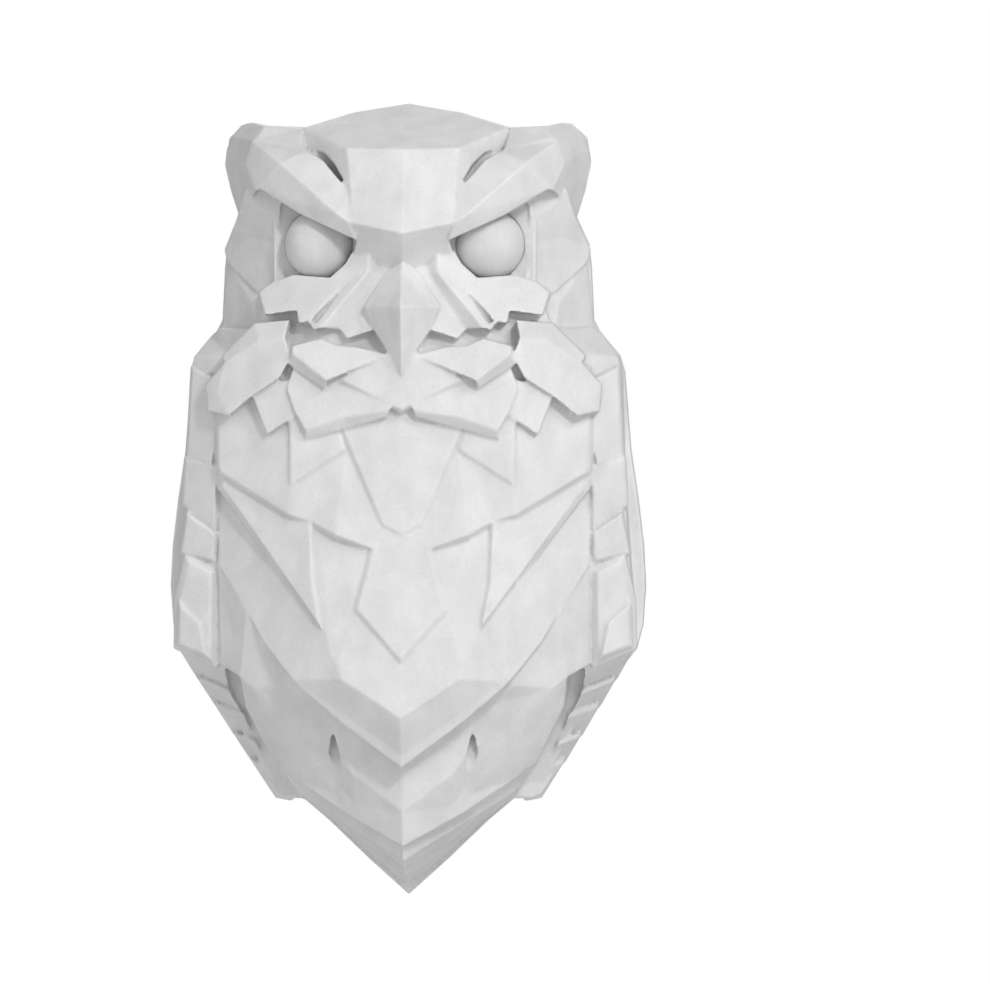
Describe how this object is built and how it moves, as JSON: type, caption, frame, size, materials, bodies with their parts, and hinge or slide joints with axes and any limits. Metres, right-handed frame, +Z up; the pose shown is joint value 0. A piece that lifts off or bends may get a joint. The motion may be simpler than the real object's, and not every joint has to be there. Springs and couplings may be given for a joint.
{
  "type": "wall lamp",
  "caption": "Faceted owl wall lamp: a hollow printed relief shell with smooth eye domes on a keyhole-hung rear frame, with a light bar that pulls out behind.",
  "frame": {"origin": "centre of the keyhole's round hole, on the rear frame's back face", "axes": "+Z up the owl, -Y the way the owl looks, +Y towards the wall, +X the owl's left side as it looks out"},
  "size_m": [0.1198, 0.0681, 0.1996],
  "materials": {
    "shell_plastic": "matt printed white",
    "eye_plastic": "smooth white",
    "frame_plastic": "matt printed white",
    "insert_brass": "knurled",
    "screw_steel": "zinc plated",
    "hanger_steel": "zinc plated",
    "pad_rubber": "soft",
    "bar_aluminium": "anodised",
    "cap_plastic": "fine grain",
    "magnet_nickel": "nickel plated",
    "diffuser_plastic": "opal",
    "board_white": "white solder mask",
    "chip_yellow": "phosphor",
    "cell_foil": "foil pouch",
    "board_green": "green solder mask",
    "lead_red": "insulated",
    "knob_black": "ridged"
  },
  "bodies": {
    "owl": {"owl_shell": "shell_plastic", "eye_dome_right": "eye_plastic", "eye_dome_left": "eye_plastic", "shell_inserts": "insert_brass", "rear_frame": "frame_plastic", "frame_screws": "screw_steel", "hanger_plate": "hanger_steel", "hanger_screws": "screw_steel", "wall_pads": "pad_rubber", "lamp_cradle": "frame_plastic", "cradle_screws": "screw_steel", "strike_plates": "hanger_steel"},
    "light_bar": {"bar_housing": "bar_aluminium", "bar_end_cap_top": "cap_plastic", "bar_end_cap_bottom": "cap_plastic", "bar_screws": "screw_steel", "bar_magnets": "magnet_nickel", "bar_diffuser": "diffuser_plastic", "led_board": "board_white", "led_chips": "chip_yellow", "battery_cell": "cell_foil", "control_board": "board_green", "battery_leads": "lead_red", "charge_socket": "magnet_nickel", "mode_switch": "screw_steel"},
    "knob": {"switch_knob": "knob_black"}
  },
  "joints": [
    {"name": "bar_pull", "type": "slide", "parent": "owl", "child": "light_bar", "axis": [0, 1, 0], "range_m": [0, 0.045]},
    {"name": "switch_slide", "type": "slide", "parent": "light_bar", "child": "knob", "axis": [0, 0, 1], "range_m": [-0.002, 0.002]}
  ]
}
